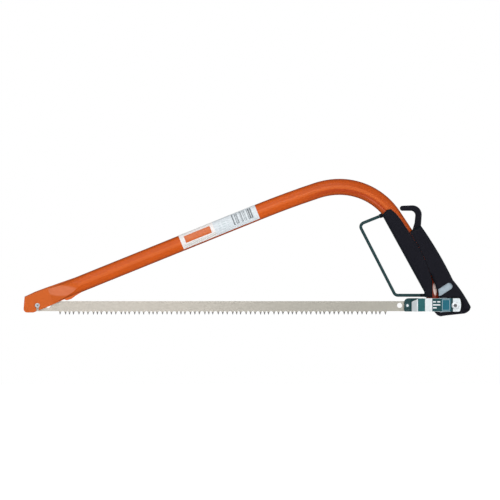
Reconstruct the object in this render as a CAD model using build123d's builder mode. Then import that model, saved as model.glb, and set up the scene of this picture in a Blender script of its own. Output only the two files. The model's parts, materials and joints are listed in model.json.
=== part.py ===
"""Pointed-nose bow saw with a lever-tensioned blade.

The row frame has its origin at the centre of the hand grip, +X along the blade towards the handle,
+Y through the saw from its left side to its right side, and +Z up. The saw is symmetric about Y = 0
apart from its fasteners and its labels. All sizes are in millimetres.

The tube frame carries the front grip. The rear half of the handle is a lever on a fulcrum at the
tube's lower end. The lever pulls a steel blade holder past its dead centre, which stretches the
blade between the holder's pin and the seat in the frame's nose.
"""

import os
from math import cos, hypot, radians, sin

from build123d import *

# ---------------------------------------------------------------- driving dimensions

# Blade
PIN_SPAN = 518.0  # from the nose pin to the rear blade pin
BLADE_END = 6.0  # blade beyond each pin
BLADE_THICK = 0.9
BLADE_BACK = 6.0  # back edge above the pin line
BLADE_ROOT = 8.0  # tooth roots below the pin line
TOOTH_DEPTH = 5.2
TOOTH_ROOT_HALF = 1.85  # half width of a tooth at its root
BLADE_HOLE_R = 3.55
TOOTH_GAPS = (7.75, 5.5, 5.5, 7.75, 6.25, 6.25)  # from tip to tip, repeated along the blade
FIRST_TOOTH = 31.7  # from the nose pin
LAST_TOOTH = 30.0  # least distance from the rear blade pin
SPARE_HOLE_FRONT = 15.0  # from the nose pin
SPARE_HOLE_REAR = 11.0  # from the rear blade pin

# Places of the pivots, in the plane of the saw
REAR_PIN = (-26.0, -60.0)
NOSE_PIN = (REAR_PIN[0] - PIN_SPAN, REAR_PIN[1])
HOLDER_PIVOT = (40.5, -60.0)
FULCRUM = (21.0, -64.5)

# Frame tube, an oval tube pressed flat at the nose
TUBE_HALF_DEPTH = 11.25  # in the plane of the saw
TUBE_HALF_WIDTH = 7.0  # across the saw
TUBE_WALL = 1.5
TUBE_SLOPE = 22.0
TUBE_TOP = (-121.0, 106.0)  # highest point of the tube's centre line
EASE_ANGLE = 3.6  # of the gentle curve between the straight front and the front bend
EASE_R = 1400.0
FRONT_BEND_R = 100.0
REAR_BEND_R = 90.0
REAR_BEND_ANGLE = 56.5
REAR_STRAIGHT = 40.0
HANDLE_BEND_R = 200.0
HANDLE_BEND_ANGLE = 23.5
TUBE_TAIL = 9.0  # straight end below the handle bend
NOSE_HALF_WIDTH = 2.2  # across the two pressed walls
BLADE_GAP = 0.7  # half the gap between the pressed walls
PRESS_START = 64.0  # along the tube from the nose pin: the press begins
PRESS_END = 22.0  # and has flattened the tube here

# Widths across the saw, as distances from its middle plane
REACH = 200.0  # of tools that cut right through
GRIP_HALF = 12.5
GRIP_ROUND = 3.5  # of the mouldings' rims
LUG_HALF = 3.9
BUSH_HALF = 4.0
LEVER_SLOT_HALF = 4.15
TAIL_HALF = 8.2
PLATE_INNER = 8.3
PLATE_THICK = 2.0
PLATE_OUTER = PLATE_INNER + PLATE_THICK
HOLDER_INNER = 10.6
HOOK_HALF = 6.0
HOOK_ROUND = 2.0
TIP_ROUND = 2.5  # of the corners at the lever's lower tip
SHEET = 1.5
HOLDER_OUTER = HOLDER_INNER + SHEET
CLAMP_INNER = 0.65  # where the holder is pinched on to the blade
CLAMP_OUTER = CLAMP_INNER + SHEET

# Clearances
RUN = 0.05  # on the radius of a running pin
GAP = 0.15  # between parts that only pass each other
SEAM = 0.5  # beside the seams between the tube and the two handle mouldings
NOSE_PLAY = 0.5  # round the nose pin in its seat
NOSE_STRETCH = 0.2  # of that play kept free for the blade's stretch, towards the handle

# Fasteners
NOSE_PIN_R = 1.25
NOSE_HEAD_R = 3.25
NOSE_DIMPLE_R = 1.3  # in the pin's peened head
BLADE_PIN_R = 3.5
BLADE_PIN_HEAD_R = 4.2
BLADE_PIN_HEAD = 1.2
PIVOT_R = 3.0
PIVOT_HEAD_R = 5.2
PIVOT_HEAD = 2.0
PIVOT_DIMPLE_R = 1.8
HEAD_RIM = 0.4  # straight rim below the rounding of a pin's head
BUSH_R = 4.6
RIVET_R = 2.0
GUARD_R = 2.15
GUARD_BEND = 6.0
SCREW_R = 2.0
SCREW_HEAD_R = 3.5
SCREW_HEAD = 2.6
LUG_PIN_R = 2.5
CLIP_THICK = 0.8
GROOVE_DEPTH = 0.6

SCREW_SUNK = 0.4  # head below the grip's face
SCREW_BLIND = 2.0  # solid plastic past the screw's hole
SCREW_SHORT = 1.0  # hole past the screw's tip
SLOT_WIDTH = 1.0
CLIP_WIDTH = 1.2  # of a spring clip outside its pin
CLIP_MOUTH = 1.6  # of a clip's opening, as a share of its inner radius
PIN_END = 1.0  # of a pin past its clip

LABEL = 0.15  # film thickness

os.makedirs("parts", exist_ok=True)


def finish(builder, name):
    """Labels a finished piece and writes its STEP file."""
    builder.part.label = name
    export_step(builder.part, f"parts/{name}.step")


def on_side(point, offset=0.0):
    """A sketch plane at a point of the saw's plane, facing +Y, moved along Y by offset."""
    return Plane(origin=(point[0], offset, point[1]), x_dir=(1, 0, 0), z_dir=(0, 1, 0))


def rod(point, radius, low, high, mode=Mode.ADD):
    """A cylinder across the saw at a point, from Y = low to Y = high, in the part being built."""
    with Locations(on_side(point, low)):
        Cylinder(radius, high - low, align=(Align.CENTER, Align.CENTER, Align.MIN), mode=mode)


def toward(start, angle, distance):
    """The point at a distance from start, at an angle in degrees above +X."""
    return (
        start[0] + distance * cos(radians(angle)),
        start[1] + distance * sin(radians(angle)),
    )


# ---------------------------------------------------------------- centre line of the frame tube

slope = radians(TUBE_SLOPE)
top_slope = radians(TUBE_SLOPE - EASE_ANGLE)
rear_turn = radians(REAR_BEND_ANGLE)
end_turn = radians(REAR_BEND_ANGLE + HANDLE_BEND_ANGLE)
front_tangent = (
    TUBE_TOP[0] - FRONT_BEND_R * sin(top_slope),
    TUBE_TOP[1] - FRONT_BEND_R * (1 - cos(top_slope)),
)
ease_start = (
    front_tangent[0] - EASE_R * (sin(slope) - sin(top_slope)),
    front_tangent[1] - EASE_R * (cos(top_slope) - cos(slope)),
)
bend_end = (
    TUBE_TOP[0] + REAR_BEND_R * sin(rear_turn),
    TUBE_TOP[1] - REAR_BEND_R * (1 - cos(rear_turn)),
)
straight_end = toward(bend_end, -REAR_BEND_ANGLE, REAR_STRAIGHT)
axis_height = (ease_start[1] - NOSE_PIN[1]) * cos(slope) - (
    ease_start[0] - NOSE_PIN[0]
) * sin(slope)
tube_start = toward(NOSE_PIN, TUBE_SLOPE + 90, axis_height)


def on_handle_bend(share):
    """A point of the tube's centre line inside the handle, at a share of the handle bend."""
    turn = rear_turn + share * (end_turn - rear_turn)
    return (
        straight_end[0] + HANDLE_BEND_R * (sin(turn) - sin(rear_turn)),
        straight_end[1] - HANDLE_BEND_R * (cos(rear_turn) - cos(turn)),
    )


END_ANGLE = -REAR_BEND_ANGLE - HANDLE_BEND_ANGLE  # of the centre line at the tube's lower end
tube_end = toward(on_handle_bend(1), END_ANGLE, TUBE_TAIL)

with BuildLine(Plane.XZ) as tube_path:
    Line(tube_start, ease_start)
    JernArc(
        start=ease_start,
        tangent=(cos(slope), sin(slope)),
        radius=EASE_R,
        arc_size=-EASE_ANGLE,
    )
    JernArc(
        start=front_tangent,
        tangent=(cos(top_slope), sin(top_slope)),
        radius=FRONT_BEND_R,
        arc_size=EASE_ANGLE - TUBE_SLOPE,
    )
    JernArc(start=TUBE_TOP, tangent=(1, 0), radius=REAR_BEND_R, arc_size=-REAR_BEND_ANGLE)
    Line(bend_end, straight_end)
    JernArc(
        start=straight_end,
        tangent=(cos(rear_turn), -sin(rear_turn)),
        radius=HANDLE_BEND_R,
        arc_size=-HANDLE_BEND_ANGLE,
    )
    Line(on_handle_bend(1), tube_end)

# Planes along the tube's front half: the first has its normal across the saw, the second has its
# normal in the plane of the saw, the third is square to the tube. Each has its origin at the nose.
nose_plane = Plane(
    origin=(NOSE_PIN[0], 0, NOSE_PIN[1]),
    x_dir=(cos(slope), 0, sin(slope)),
    z_dir=(0, -1, 0),
)
press_plane = Plane(
    origin=(NOSE_PIN[0], 0, NOSE_PIN[1]),
    x_dir=(cos(slope), 0, sin(slope)),
    z_dir=(sin(slope), 0, -cos(slope)),
)
section_plane = Plane(
    origin=(tube_start[0], 0, tube_start[1]),
    x_dir=(0, 1, 0),
    z_dir=(cos(slope), 0, sin(slope)),
)


def swept_tube(extra):
    """The solid swept by the tube's oval, made larger by extra all round."""
    with BuildPart() as swept:
        with BuildSketch(section_plane):
            Ellipse(TUBE_HALF_WIDTH + extra, TUBE_HALF_DEPTH + extra)
        sweep(path=tube_path.wires()[0])
    return swept.part


def link_face(start, end, radius):
    """The face of a straight link with round ends, between two points of the saw's plane."""
    with BuildSketch(Plane.XZ) as link:
        with Locations(start, end):
            Circle(radius)
        make_hull()
    return link.sketch


def link_slab(start, end, radius, half_width):
    """A straight link with round ends as a solid, half_width to each side of the middle."""
    with BuildPart() as slab:
        extrude(link_face(start, end, radius), amount=half_width, both=True)
    return slab.part


def both_sides(faces, low, high):
    """A pair of slabs with the faces' outline, from low to high on each side of the middle."""
    with BuildPart() as slabs:
        for face in faces:
            extrude(face, amount=high, both=True)
        Box(2 * REACH, 2 * low, 2 * REACH, mode=Mode.SUBTRACT)
    return slabs.part


def press_tool(nose_half, tube_half):
    """The room beside the pressed nose: two wedges that leave nose_half at the nose."""
    reach = 60.0
    with BuildPart() as tool:
        with BuildSketch(press_plane):
            with BuildLine():
                Polyline(
                    (-reach, nose_half),
                    (PRESS_END, nose_half),
                    (PRESS_START, tube_half),
                    (PRESS_START, reach),
                    (-reach, reach),
                    close=True,
                )
            make_face()
        extrude(amount=reach, both=True)
        mirror(about=Plane.XZ)
    return tool.part


def outer_side(offset):
    """The room beyond the tube's rear half, further than offset from its centre line."""
    with BuildPart() as room:
        with BuildSketch(Plane.XZ):
            with BuildLine():
                bend = JernArc(
                    start=(TUBE_TOP[0], TUBE_TOP[1] + offset),
                    tangent=(1, 0),
                    radius=REAR_BEND_R + offset,
                    arc_size=-REAR_BEND_ANGLE,
                )
                straight = Line(bend @ 1, (bend @ 1) + (bend % 1) * REAR_STRAIGHT)
                handle = JernArc(
                    start=straight @ 1,
                    tangent=straight % 1,
                    radius=HANDLE_BEND_R + offset,
                    arc_size=-HANDLE_BEND_ANGLE,
                )
                tail = Line(handle @ 1, (handle @ 1) + (handle % 1) * (TUBE_TAIL + SEAM))
                below = (tail @ 1) - (tail % 1).rotate(Axis.Z, 90) * REACH
                Polyline(
                    tail @ 1,
                    below,
                    (below.X, -REACH),
                    (REACH, -REACH),
                    (REACH, REACH),
                    (TUBE_TOP[0], REACH),
                    bend @ 0,
                )
            make_face()
        extrude(amount=2 * GRIP_HALF, both=True)
    return room.part


# ---------------------------------------------------------------- frame tube

NOSE_TOP = axis_height + TUBE_HALF_DEPTH
NOSE_BOTTOM = axis_height - TUBE_HALF_DEPTH
SCREW_PLACES = (on_handle_bend(0.08), on_handle_bend(0.60))
LUG_PIN_PLACE = on_handle_bend(0.93)
NOSE_ROUND = 5.0  # of the nose's lower corner
SEAT_REACH = 20.0  # of the nose pin's seat, past the nose's lower edge
NOTCH = ((-30.0, -22.0), (-9.0, -22.0), (0.5, -39.5), (0.5, -70.0), (-30.0, -70.0))


def notch_block(gap):
    """The block notched out of the tube's lower end, where the grip closes in front of it."""
    with BuildPart() as block:
        with BuildSketch(Plane.XZ):
            with BuildLine():
                Polyline(*[(x - gap, z) for x, z in NOTCH], close=True)
            make_face()
        extrude(amount=2 * TUBE_HALF_WIDTH, both=True)
    return block.part


with BuildPart() as tube_bore:
    add(swept_tube(-TUBE_WALL))
    add(press_tool(BLADE_GAP, TUBE_HALF_WIDTH - TUBE_WALL), mode=Mode.SUBTRACT)
    # the slot between the pressed walls, open along the nose's lower edge
    with BuildSketch(nose_plane):
        with BuildLine():
            Polyline(
                (-13, 10.5),
                (-17, 2),
                (-12, -14),
                (38, -14),
                (38, -1),
                (20, 10.5),
                close=True,
            )
        make_face()
    extrude(amount=BLADE_GAP, both=True)

with BuildPart() as nose_plate:
    with BuildSketch(nose_plane) as nose_outline:
        with BuildLine():
            Polyline(
                (-12, NOSE_TOP + 1.6),
                (-22, -1.8),
                (-9, NOSE_BOTTOM - 1.1),
                (15, NOSE_BOTTOM - 1.1),
                (38, NOSE_BOTTOM - 0.3),
                (41, NOSE_BOTTOM - 2.8),
                (47.5, NOSE_BOTTOM - 3.4),
                (54, NOSE_BOTTOM - 1.6),
                (PRESS_START, NOSE_BOTTOM),
                (PRESS_START, NOSE_TOP),
                (47, NOSE_TOP + 0.8),
                (22, NOSE_TOP + 2.0),
                (4, NOSE_TOP + 2.5),
                close=True,
            )
        make_face()
        fillet(nose_outline.vertices().sort_by(Axis.X)[0], NOSE_ROUND)
    extrude(amount=NOSE_HALF_WIDTH, both=True)

with BuildPart() as frame_tube:
    add(swept_tube(0))
    add(press_tool(NOSE_HALF_WIDTH, TUBE_HALF_WIDTH), mode=Mode.SUBTRACT)
    add(nose_plate.part)
    add(tube_bore.part, mode=Mode.SUBTRACT)
    # seat of the nose pin, open downwards so that the slack blade drops out
    seat_r = NOSE_PIN_R + NOSE_PLAY
    seat = (NOSE_PIN[0] + NOSE_STRETCH, NOSE_PIN[1])
    add(link_slab(seat, toward(seat, -90, SEAT_REACH), seat_r, TUBE_HALF_WIDTH), mode=Mode.SUBTRACT)
    add(notch_block(0), mode=Mode.SUBTRACT)
    for place in SCREW_PLACES:
        rod(place, SCREW_R + GAP, -GRIP_HALF, GRIP_HALF, Mode.SUBTRACT)
    rod(LUG_PIN_PLACE, LUG_PIN_R, -GRIP_HALF, GRIP_HALF, Mode.SUBTRACT)
finish(frame_tube, "frame_tube")

# ---------------------------------------------------------------- fulcrum lug, its pin and bush

LUG_R = 5.0
LUG_TOP = toward(on_handle_bend(0.80), 0, 0.8)
LUG_KNEE = (10.0, -58.0)
LUG_EYE_R = 8.2

with BuildPart() as fulcrum_lug:
    extrude(link_face(LUG_TOP, LUG_KNEE, LUG_R), amount=LUG_HALF, both=True)
    with BuildSketch(Plane.XZ):
        with Locations(LUG_KNEE):
            Circle(LUG_R)
        with Locations(FULCRUM):
            Circle(LUG_EYE_R)
        make_hull()
    extrude(amount=LUG_HALF, both=True)
    rod(FULCRUM, BUSH_R, -LUG_HALF, LUG_HALF, Mode.SUBTRACT)
    rod(LUG_PIN_PLACE, LUG_PIN_R, -LUG_HALF, LUG_HALF, Mode.SUBTRACT)
finish(fulcrum_lug, "fulcrum_lug")

with BuildPart() as fulcrum_bush:
    rod(FULCRUM, BUSH_R, -BUSH_HALF, BUSH_HALF)
    rod(FULCRUM, PIVOT_R + RUN, -BUSH_HALF, BUSH_HALF, Mode.SUBTRACT)
finish(fulcrum_bush, "fulcrum_bush")

with BuildPart() as lug_pin:
    rod(LUG_PIN_PLACE, LUG_PIN_R, -TUBE_HALF_WIDTH + GAP, TUBE_HALF_WIDTH - GAP)
    rod(LUG_PIN_PLACE, LUG_PIN_R / 2, -TUBE_HALF_WIDTH, TUBE_HALF_WIDTH, Mode.SUBTRACT)
finish(lug_pin, "lug_pin")

# ---------------------------------------------------------------- knuckle guard

GUARD_FRONT_TOP = (-93.6, 53.2)
GUARD_FRONT_LOW = (-43.0, -45.8)
GUARD_TOP_END = (-61.6, 66.1)
GUARD_LOW_END = (0.0, -45.8)
SOCKET_R = 3.0  # at the guard's upper end
SOCKET_LENGTH = 3.5
LOW_SOCKET_R = 2.3
LOW_SOCKET_LENGTH = 8.0
GUARD_HIDDEN = 12.0  # guard inside the grip, at each end
HANDLE_SEAM = 6.0  # where the two mouldings meet over the tube, from its centre line

with BuildPart() as knuckle_guard:
    with BuildLine(Plane.XZ) as guard_path:
        FilletPolyline(
            GUARD_TOP_END,
            GUARD_FRONT_TOP,
            GUARD_FRONT_LOW,
            GUARD_LOW_END,
            radius=GUARD_BEND,
        )
    with BuildSketch(Plane(origin=guard_path.line @ 0, z_dir=guard_path.line % 0)):
        Circle(GUARD_R)
    sweep()
finish(knuckle_guard, "knuckle_guard")

# ---------------------------------------------------------------- front grip, in two halves

with BuildPart() as tube_room:
    add(swept_tube(GAP))
    add(notch_block(GAP), mode=Mode.SUBTRACT)

with BuildPart() as grip_body:
    with BuildSketch(Plane.XZ) as grip_outline:
        with BuildLine():
            Polyline(
                (-59.9, 63.8),
                (-2.2, -41.2),
                (-2.2, -48.4),
                (8.4, -48.4),
                (8.4, 30.0),
                (-16.0, 38.0),
                (-21.5, 44.8),
                (-41.8, 68.0),
                (-49.1, 74.8),
                (-55.2, 73.6),
                (-60.6, 67.5),
                close=True,
            )
        make_face()
    extrude(amount=GRIP_HALF, both=True)
    fillet(grip_body.faces().filter_by(Axis.Y).edges(), GRIP_ROUND)
    add(outer_side(HANDLE_SEAM - SEAM / 2), mode=Mode.SUBTRACT)
    # sockets round the ends of the knuckle guard
    with BuildSketch(Plane(origin=guard_path.line @ 0, z_dir=-(guard_path.line % 0))):
        Circle(SOCKET_R)
    extrude(amount=SOCKET_LENGTH, both=True)
    with BuildSketch(Plane(origin=guard_path.line @ 1, z_dir=guard_path.line % 1)):
        Circle(LOW_SOCKET_R)
    extrude(amount=-LOW_SOCKET_LENGTH)
    add(tube_room.part, mode=Mode.SUBTRACT)
    with BuildSketch(Plane(origin=guard_path.line @ 0, z_dir=guard_path.line % 0)):
        Circle(GUARD_R)
    extrude(amount=GUARD_HIDDEN, both=True, mode=Mode.SUBTRACT)
    with BuildSketch(Plane(origin=guard_path.line @ 1, z_dir=guard_path.line % 1)):
        Circle(GUARD_R)
    extrude(amount=-GUARD_HIDDEN, mode=Mode.SUBTRACT)

with BuildPart() as front_grip_left:
    add(grip_body.part)
    split(bisect_by=Plane.XZ.offset(GAP / 2), keep=Keep.TOP)
    for place in SCREW_PLACES:
        rod(place, SCREW_R, -GRIP_HALF + SCREW_BLIND, 0, Mode.SUBTRACT)
finish(front_grip_left, "front_grip_left")

with BuildPart() as front_grip_right:
    add(grip_body.part)
    split(bisect_by=Plane.XZ.offset(-GAP / 2), keep=Keep.BOTTOM)
    for place in SCREW_PLACES:
        rod(place, SCREW_R + GAP, 0, GRIP_HALF, Mode.SUBTRACT)
        head_seat = GRIP_HALF - SCREW_SUNK - SCREW_HEAD
        rod(place, SCREW_HEAD_R + GAP, head_seat, GRIP_HALF, Mode.SUBTRACT)
finish(front_grip_right, "front_grip_right")


def grip_screw(place):
    """A pan-head screw that closes the two grip halves, with a slotted head on the right side."""
    top = GRIP_HALF - SCREW_SUNK
    with BuildPart() as screw:
        rod(place, SCREW_R, -GRIP_HALF + SCREW_BLIND + SCREW_SHORT, top - SCREW_HEAD)
        rod(place, SCREW_HEAD_R, top - SCREW_HEAD, top)
        with Locations(Location((place[0], top, place[1]))):
            Box(2 * SCREW_HEAD_R, 2 * SLOT_WIDTH, SLOT_WIDTH, mode=Mode.SUBTRACT)
    return screw


for place, name in zip(SCREW_PLACES, ("grip_screw_upper", "grip_screw_lower")):
    finish(grip_screw(place), name)

# ---------------------------------------------------------------- frame label

LABEL_START = 219.5  # along the tube
LABEL_LENGTH = 115.0
LABEL_LOW = -9.2  # the film's lower edge, from the tube's centre line
LABEL_WRAP = 3.0  # how far it laps over the tube's top, past the middle plane

with BuildPart() as frame_label:
    with BuildSketch(section_plane.offset(LABEL_START)):
        Ellipse(TUBE_HALF_WIDTH + LABEL, TUBE_HALF_DEPTH + LABEL)
        Ellipse(TUBE_HALF_WIDTH, TUBE_HALF_DEPTH, mode=Mode.SUBTRACT)
        with Locations((LABEL_WRAP, LABEL_LOW)):
            Rectangle(REACH, REACH, align=(Align.MAX, Align.MIN), mode=Mode.INTERSECT)
    extrude(amount=LABEL_LENGTH)
finish(frame_label, "frame_label")

# ---------------------------------------------------------------- lever plates

WINDOW_END = (31.8, -33.2)  # centre of the bar's round end
WINDOW_R = 5.1
WINDOW_ANGLE = 33.0
BAR_LENGTH = 15.0
ARM_LENGTH = 5.0  # from the bar's round end to the arm
ARM_R = 4.2
EYE_LINK_R = 5.0
RIVET_PLACE = (31.0, -61.5)
WINDOW_LIP = 0.3  # of the moulding over the bar's edges
BAR_CUT = ((15.6, -30.0), (18.6, -52.0))  # the line that the bar's hidden end is cut along


def bar_face(length, extra):
    """The upper bar of the lever plates: a slanting link, cut off beside the tube."""
    with BuildSketch(Plane.XZ) as bar:
        add(link_face(toward(WINDOW_END, WINDOW_ANGLE + 180, length), WINDOW_END, WINDOW_R + extra))
        with BuildLine():
            top, low = [(x - extra, z) for x, z in BAR_CUT]
            Polyline(top, low, (low[0] - 60, low[1]), (top[0] - 60, top[1]), close=True)
        make_face(mode=Mode.SUBTRACT)
    return bar.sketch


def plate_faces(extra):
    """The lever plates' outline as overlapping faces, made larger by extra all round."""
    arm_top = toward(WINDOW_END, WINDOW_ANGLE + 180, ARM_LENGTH)
    return [
        link_face(FULCRUM, HOLDER_PIVOT, EYE_LINK_R + extra),
        link_face(FULCRUM, arm_top, ARM_R + extra),
        bar_face(BAR_LENGTH, extra),
    ]


def lever_plate(keep):
    """One steel plate of the lever, on the side that keep selects."""
    with BuildPart() as plate:
        add(both_sides(plate_faces(0), PLATE_INNER, PLATE_OUTER))
        rod(FULCRUM, PIVOT_R, -GRIP_HALF, GRIP_HALF, Mode.SUBTRACT)
        rod(HOLDER_PIVOT, PIVOT_R + RUN, -GRIP_HALF, GRIP_HALF, Mode.SUBTRACT)
        rod(RIVET_PLACE, RIVET_R, -GRIP_HALF, GRIP_HALF, Mode.SUBTRACT)
        split(bisect_by=Plane.XZ, keep=keep)
    return plate


finish(lever_plate(Keep.TOP), "lever_plate_left")
finish(lever_plate(Keep.BOTTOM), "lever_plate_right")

with BuildPart() as fulcrum_pin:
    rod(FULCRUM, PIVOT_R, -PLATE_OUTER, PLATE_OUTER)
finish(fulcrum_pin, "fulcrum_pin")

with BuildPart() as plate_rivet:
    rod(RIVET_PLACE, RIVET_R, -PLATE_OUTER, PLATE_OUTER)
finish(plate_rivet, "plate_rivet")

# ---------------------------------------------------------------- lever moulding

with BuildPart() as hook:
    with BuildSketch(Plane.XZ):
        with BuildLine():
            Polyline((-7.1, 51.4), (-7.0, 44.0), (-17.0, 44.0), (-19.0, 45.6))
            Polyline((-19.0, 45.6), (-15.9, 56.0), (-14.9, 66.0))
            ThreePointArc((-14.9, 66.0), (-16.8, 70.6), (-21.0, 72.5))
            Line((-21.0, 72.5), (-33.0, 72.5))
            ThreePointArc((-33.0, 72.5), (-36.5, 76.0), (-33.0, 79.6))
            Line((-33.0, 79.6), (-19.0, 80.1))
            ThreePointArc((-19.0, 80.1), (-9.6, 76.0), (-6.0, 67.0))
            Line((-6.0, 67.0), (-7.1, 51.4))
        make_face()
    extrude(amount=HOOK_HALF, both=True)
    fillet(hook.faces().filter_by(Axis.Y).edges(), HOOK_ROUND)

with BuildPart() as lever_shell:
    with BuildSketch(Plane.XZ) as lever_outline:
        with BuildLine():
            Polyline(
                (62.6, -62.2),
                (60.9, -66.6),
                (57.2, -69.8),
                (53.4, -71.3),
                (28.2, -74.0),
                (19.8, -75.3),
                (15.6, -73.4),
                (11.4, -68.5),
                (12.5, -60.0),
                (18.7, -52.0),
                (18.7, -47.8),
                (7.0, -17.0),
                (-4.0, -12.0),
                (-27.0, 39.0),
                (-19.0, 45.6),
                (-7.1, 51.4),
            )
            ThreePointArc((-7.1, 51.4), (17.5, 13.4), (37.6, -24.4))
            ThreePointArc((37.6, -24.4), (50.4, -41.2), (62.6, -62.2))
        make_face()
        fillet(lever_outline.vertices().sort_by(Axis.X)[-3:], TIP_ROUND)
    extrude(amount=GRIP_HALF, both=True)
    fillet(lever_shell.faces().filter_by(Axis.Y).edges(), GRIP_ROUND)
    add(outer_side(HANDLE_SEAM + SEAM / 2), mode=Mode.INTERSECT)
    # the groove that closes over the outer part of the tube
    add(swept_tube(GAP), mode=Mode.SUBTRACT)
    with BuildPart(mode=Mode.PRIVATE) as groove:
        Box(2 * REACH, 2 * (TUBE_HALF_WIDTH + GAP), 2 * REACH)
        add(outer_side(TUBE_HALF_DEPTH + SEAM), mode=Mode.SUBTRACT)
    add(groove.part, mode=Mode.SUBTRACT)
    add(hook.part)
    # the slim tail that works between the plates and the holder's walls
    with BuildSketch(Plane.XZ) as tail_side:
        Polygon(
            (-10, -90),
            (70, -90),
            (70, -64.5),
            (49.5, -64.5),
            (49.5, -49.3),
            (-10, -49.3),
            align=None,
        )
        with Locations(HOLDER_PIVOT):
            Circle(12.8)
    add(both_sides(tail_side.sketch.faces(), TAIL_HALF, 2 * GRIP_HALF), mode=Mode.SUBTRACT)
    # pockets for the plates, open to the holder
    add(both_sides(plate_faces(GAP), TAIL_HALF, PLATE_OUTER + GAP), mode=Mode.SUBTRACT)
    # a window on each side that shows the upper end of the plates
    window = bar_face(BAR_LENGTH, -WINDOW_LIP)
    add(both_sides([window], PLATE_OUTER, 2 * GRIP_HALF), mode=Mode.SUBTRACT)
    # slot for the fulcrum lug, which points up at rest and down when the lever is open
    with BuildSketch(Plane.XZ):
        with BuildLine():
            Polyline(
                (27.5, -57.6),
                (12.0, -50.9),
                (-10.0, -50.9),
                (-10.0, -90.0),
                (29.9, -90.0),
                (29.9, -64.5),
                close=True,
            )
        make_face()
        with Locations(FULCRUM):
            Circle(LUG_EYE_R + SEAM)
    extrude(amount=LEVER_SLOT_HALF, both=True, mode=Mode.SUBTRACT)
    rod(FULCRUM, PIVOT_R + GAP, -GRIP_HALF, GRIP_HALF, Mode.SUBTRACT)
    rod(HOLDER_PIVOT, PIVOT_R + GAP, -GRIP_HALF, GRIP_HALF, Mode.SUBTRACT)
    rod(RIVET_PLACE, RIVET_R, -GRIP_HALF, GRIP_HALF, Mode.SUBTRACT)
finish(lever_shell, "lever_shell")

# ---------------------------------------------------------------- blade holder

HOLDER_FRONT = -30.6
CLAMP_END = -21.0  # the walls are pinched together up to here
FLARE_END = -12.0  # and parallel from here
WEB_END = -6.5
HOLDER_REAR = 48.5
HOLDER_LOW = -68.5
HOLDER_HIGH = -49.9
HOLDER_FRONT_ROUND = 6.0  # of the upper front corner
HOLDER_ROUND = 2.0  # of the other corners
HOLDER_BOW = 1.5  # of the rear end
FLARE_SHIFT = 0.7  # of the flare's outer bends from its inner ones

with BuildPart() as blade_holder:
    with BuildSketch(Plane.XY.offset(HOLDER_LOW)):
        with BuildLine():
            Polyline(
                (HOLDER_FRONT, CLAMP_INNER),
                (CLAMP_END, CLAMP_INNER),
                (FLARE_END, HOLDER_INNER),
                (HOLDER_REAR, HOLDER_INNER),
                (HOLDER_REAR, HOLDER_OUTER),
                (FLARE_END - FLARE_SHIFT, HOLDER_OUTER),
                (CLAMP_END - FLARE_SHIFT, CLAMP_OUTER),
                (HOLDER_FRONT, CLAMP_OUTER),
                close=True,
            )
        make_face()
    extrude(amount=HOLDER_HIGH - HOLDER_LOW)
    mirror(about=Plane.XZ)
    # the web along the top, in front of the frame tube
    with BuildSketch(Plane.XY.offset(HOLDER_HIGH - SHEET)):
        with BuildLine():
            Polyline(
                (HOLDER_FRONT, 0),
                (HOLDER_FRONT, CLAMP_OUTER),
                (CLAMP_END - FLARE_SHIFT, CLAMP_OUTER),
                (FLARE_END - FLARE_SHIFT, HOLDER_OUTER),
                (WEB_END, HOLDER_OUTER),
                (WEB_END, 0),
                close=True,
            )
        make_face()
        mirror(about=Plane.XZ)
    extrude(amount=SHEET)
    # side outline with its rounded front and bowed rear end
    with BuildSketch(Plane.XZ) as holder_side:
        with BuildLine():
            ThreePointArc(
                (HOLDER_REAR - HOLDER_BOW, HOLDER_LOW),
                (HOLDER_REAR, (HOLDER_LOW + HOLDER_HIGH) / 2),
                (HOLDER_REAR - HOLDER_BOW, HOLDER_HIGH),
            )
            Polyline(
                (HOLDER_REAR - HOLDER_BOW, HOLDER_HIGH),
                (HOLDER_FRONT, HOLDER_HIGH),
                (HOLDER_FRONT, HOLDER_LOW),
                (HOLDER_REAR - HOLDER_BOW, HOLDER_LOW),
            )
        make_face()
        front_corners = holder_side.vertices().group_by(Axis.X)[0].sort_by(Axis.Y)
        fillet(front_corners[1], HOLDER_FRONT_ROUND)
        fillet(holder_side.vertices().group_by(Axis.X)[0].sort_by(Axis.Y)[0], HOLDER_ROUND)
        fillet(holder_side.vertices().sort_by(Axis.X)[-2:], HOLDER_ROUND)
    extrude(amount=2 * GRIP_HALF, both=True, mode=Mode.INTERSECT)
    rod(REAR_PIN, BLADE_PIN_R, -GRIP_HALF, GRIP_HALF, Mode.SUBTRACT)
    rod(HOLDER_PIVOT, PIVOT_R, -GRIP_HALF, GRIP_HALF, Mode.SUBTRACT)
finish(blade_holder, "blade_holder")

LABEL_FRONT = -11.6
LABEL_REAR = 34.2
LABEL_HEIGHT = 18.0

with BuildPart() as holder_label:
    with BuildSketch(Plane.XZ.offset(HOLDER_OUTER)):
        with Locations(((LABEL_FRONT + LABEL_REAR) / 2, (HOLDER_LOW + HOLDER_HIGH) / 2)):
            RectangleRounded(LABEL_REAR - LABEL_FRONT, LABEL_HEIGHT, 0.8)
    extrude(amount=LABEL)
finish(holder_label, "holder_label")


def spring_clip(place, shank_radius, y_low):
    """An open spring ring in a pin's groove, from Y = y_low."""
    inner = shank_radius - GROOVE_DEPTH
    with BuildPart() as clip:
        with BuildSketch(on_side(place, y_low)):
            Circle(shank_radius + CLIP_WIDTH)
            Circle(inner, mode=Mode.SUBTRACT)
            with Locations((shank_radius, 0)):
                Rectangle(2 * shank_radius, CLIP_MOUTH * inner, mode=Mode.SUBTRACT)
        extrude(amount=CLIP_THICK)
    return clip


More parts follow.
